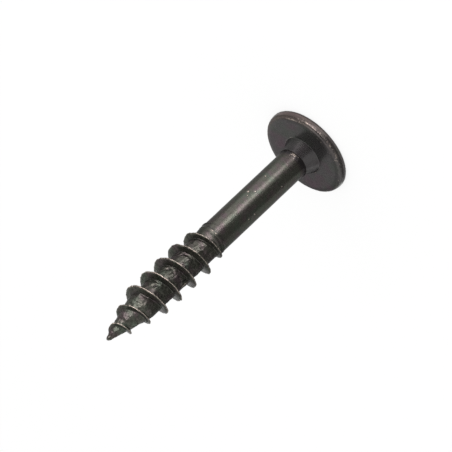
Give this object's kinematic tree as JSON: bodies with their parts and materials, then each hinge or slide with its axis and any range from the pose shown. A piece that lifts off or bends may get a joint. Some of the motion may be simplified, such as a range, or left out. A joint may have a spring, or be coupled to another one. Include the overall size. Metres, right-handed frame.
{
  "type": "hinge screw",
  "caption": "Hinge screw with a wide thin disc head, a flared neck, a plain shank and a coarse right-hand wood thread that ends in a gimlet point.",
  "frame": {"origin": "centre of the head's outer face, on which the screw stands", "axes": "+Z along the screw's axis from the head to the point, -Y towards the side that the picture shows"},
  "size_m": [0.0156, 0.0156, 0.0495],
  "materials": {
    "blackened_steel": "blackened semi-gloss plating over cold-headed steel, worn bright on the thread crests"
  },
  "bodies": {
    "root": {"hinge_screw": "blackened_steel"}
  },
  "joints": []
}
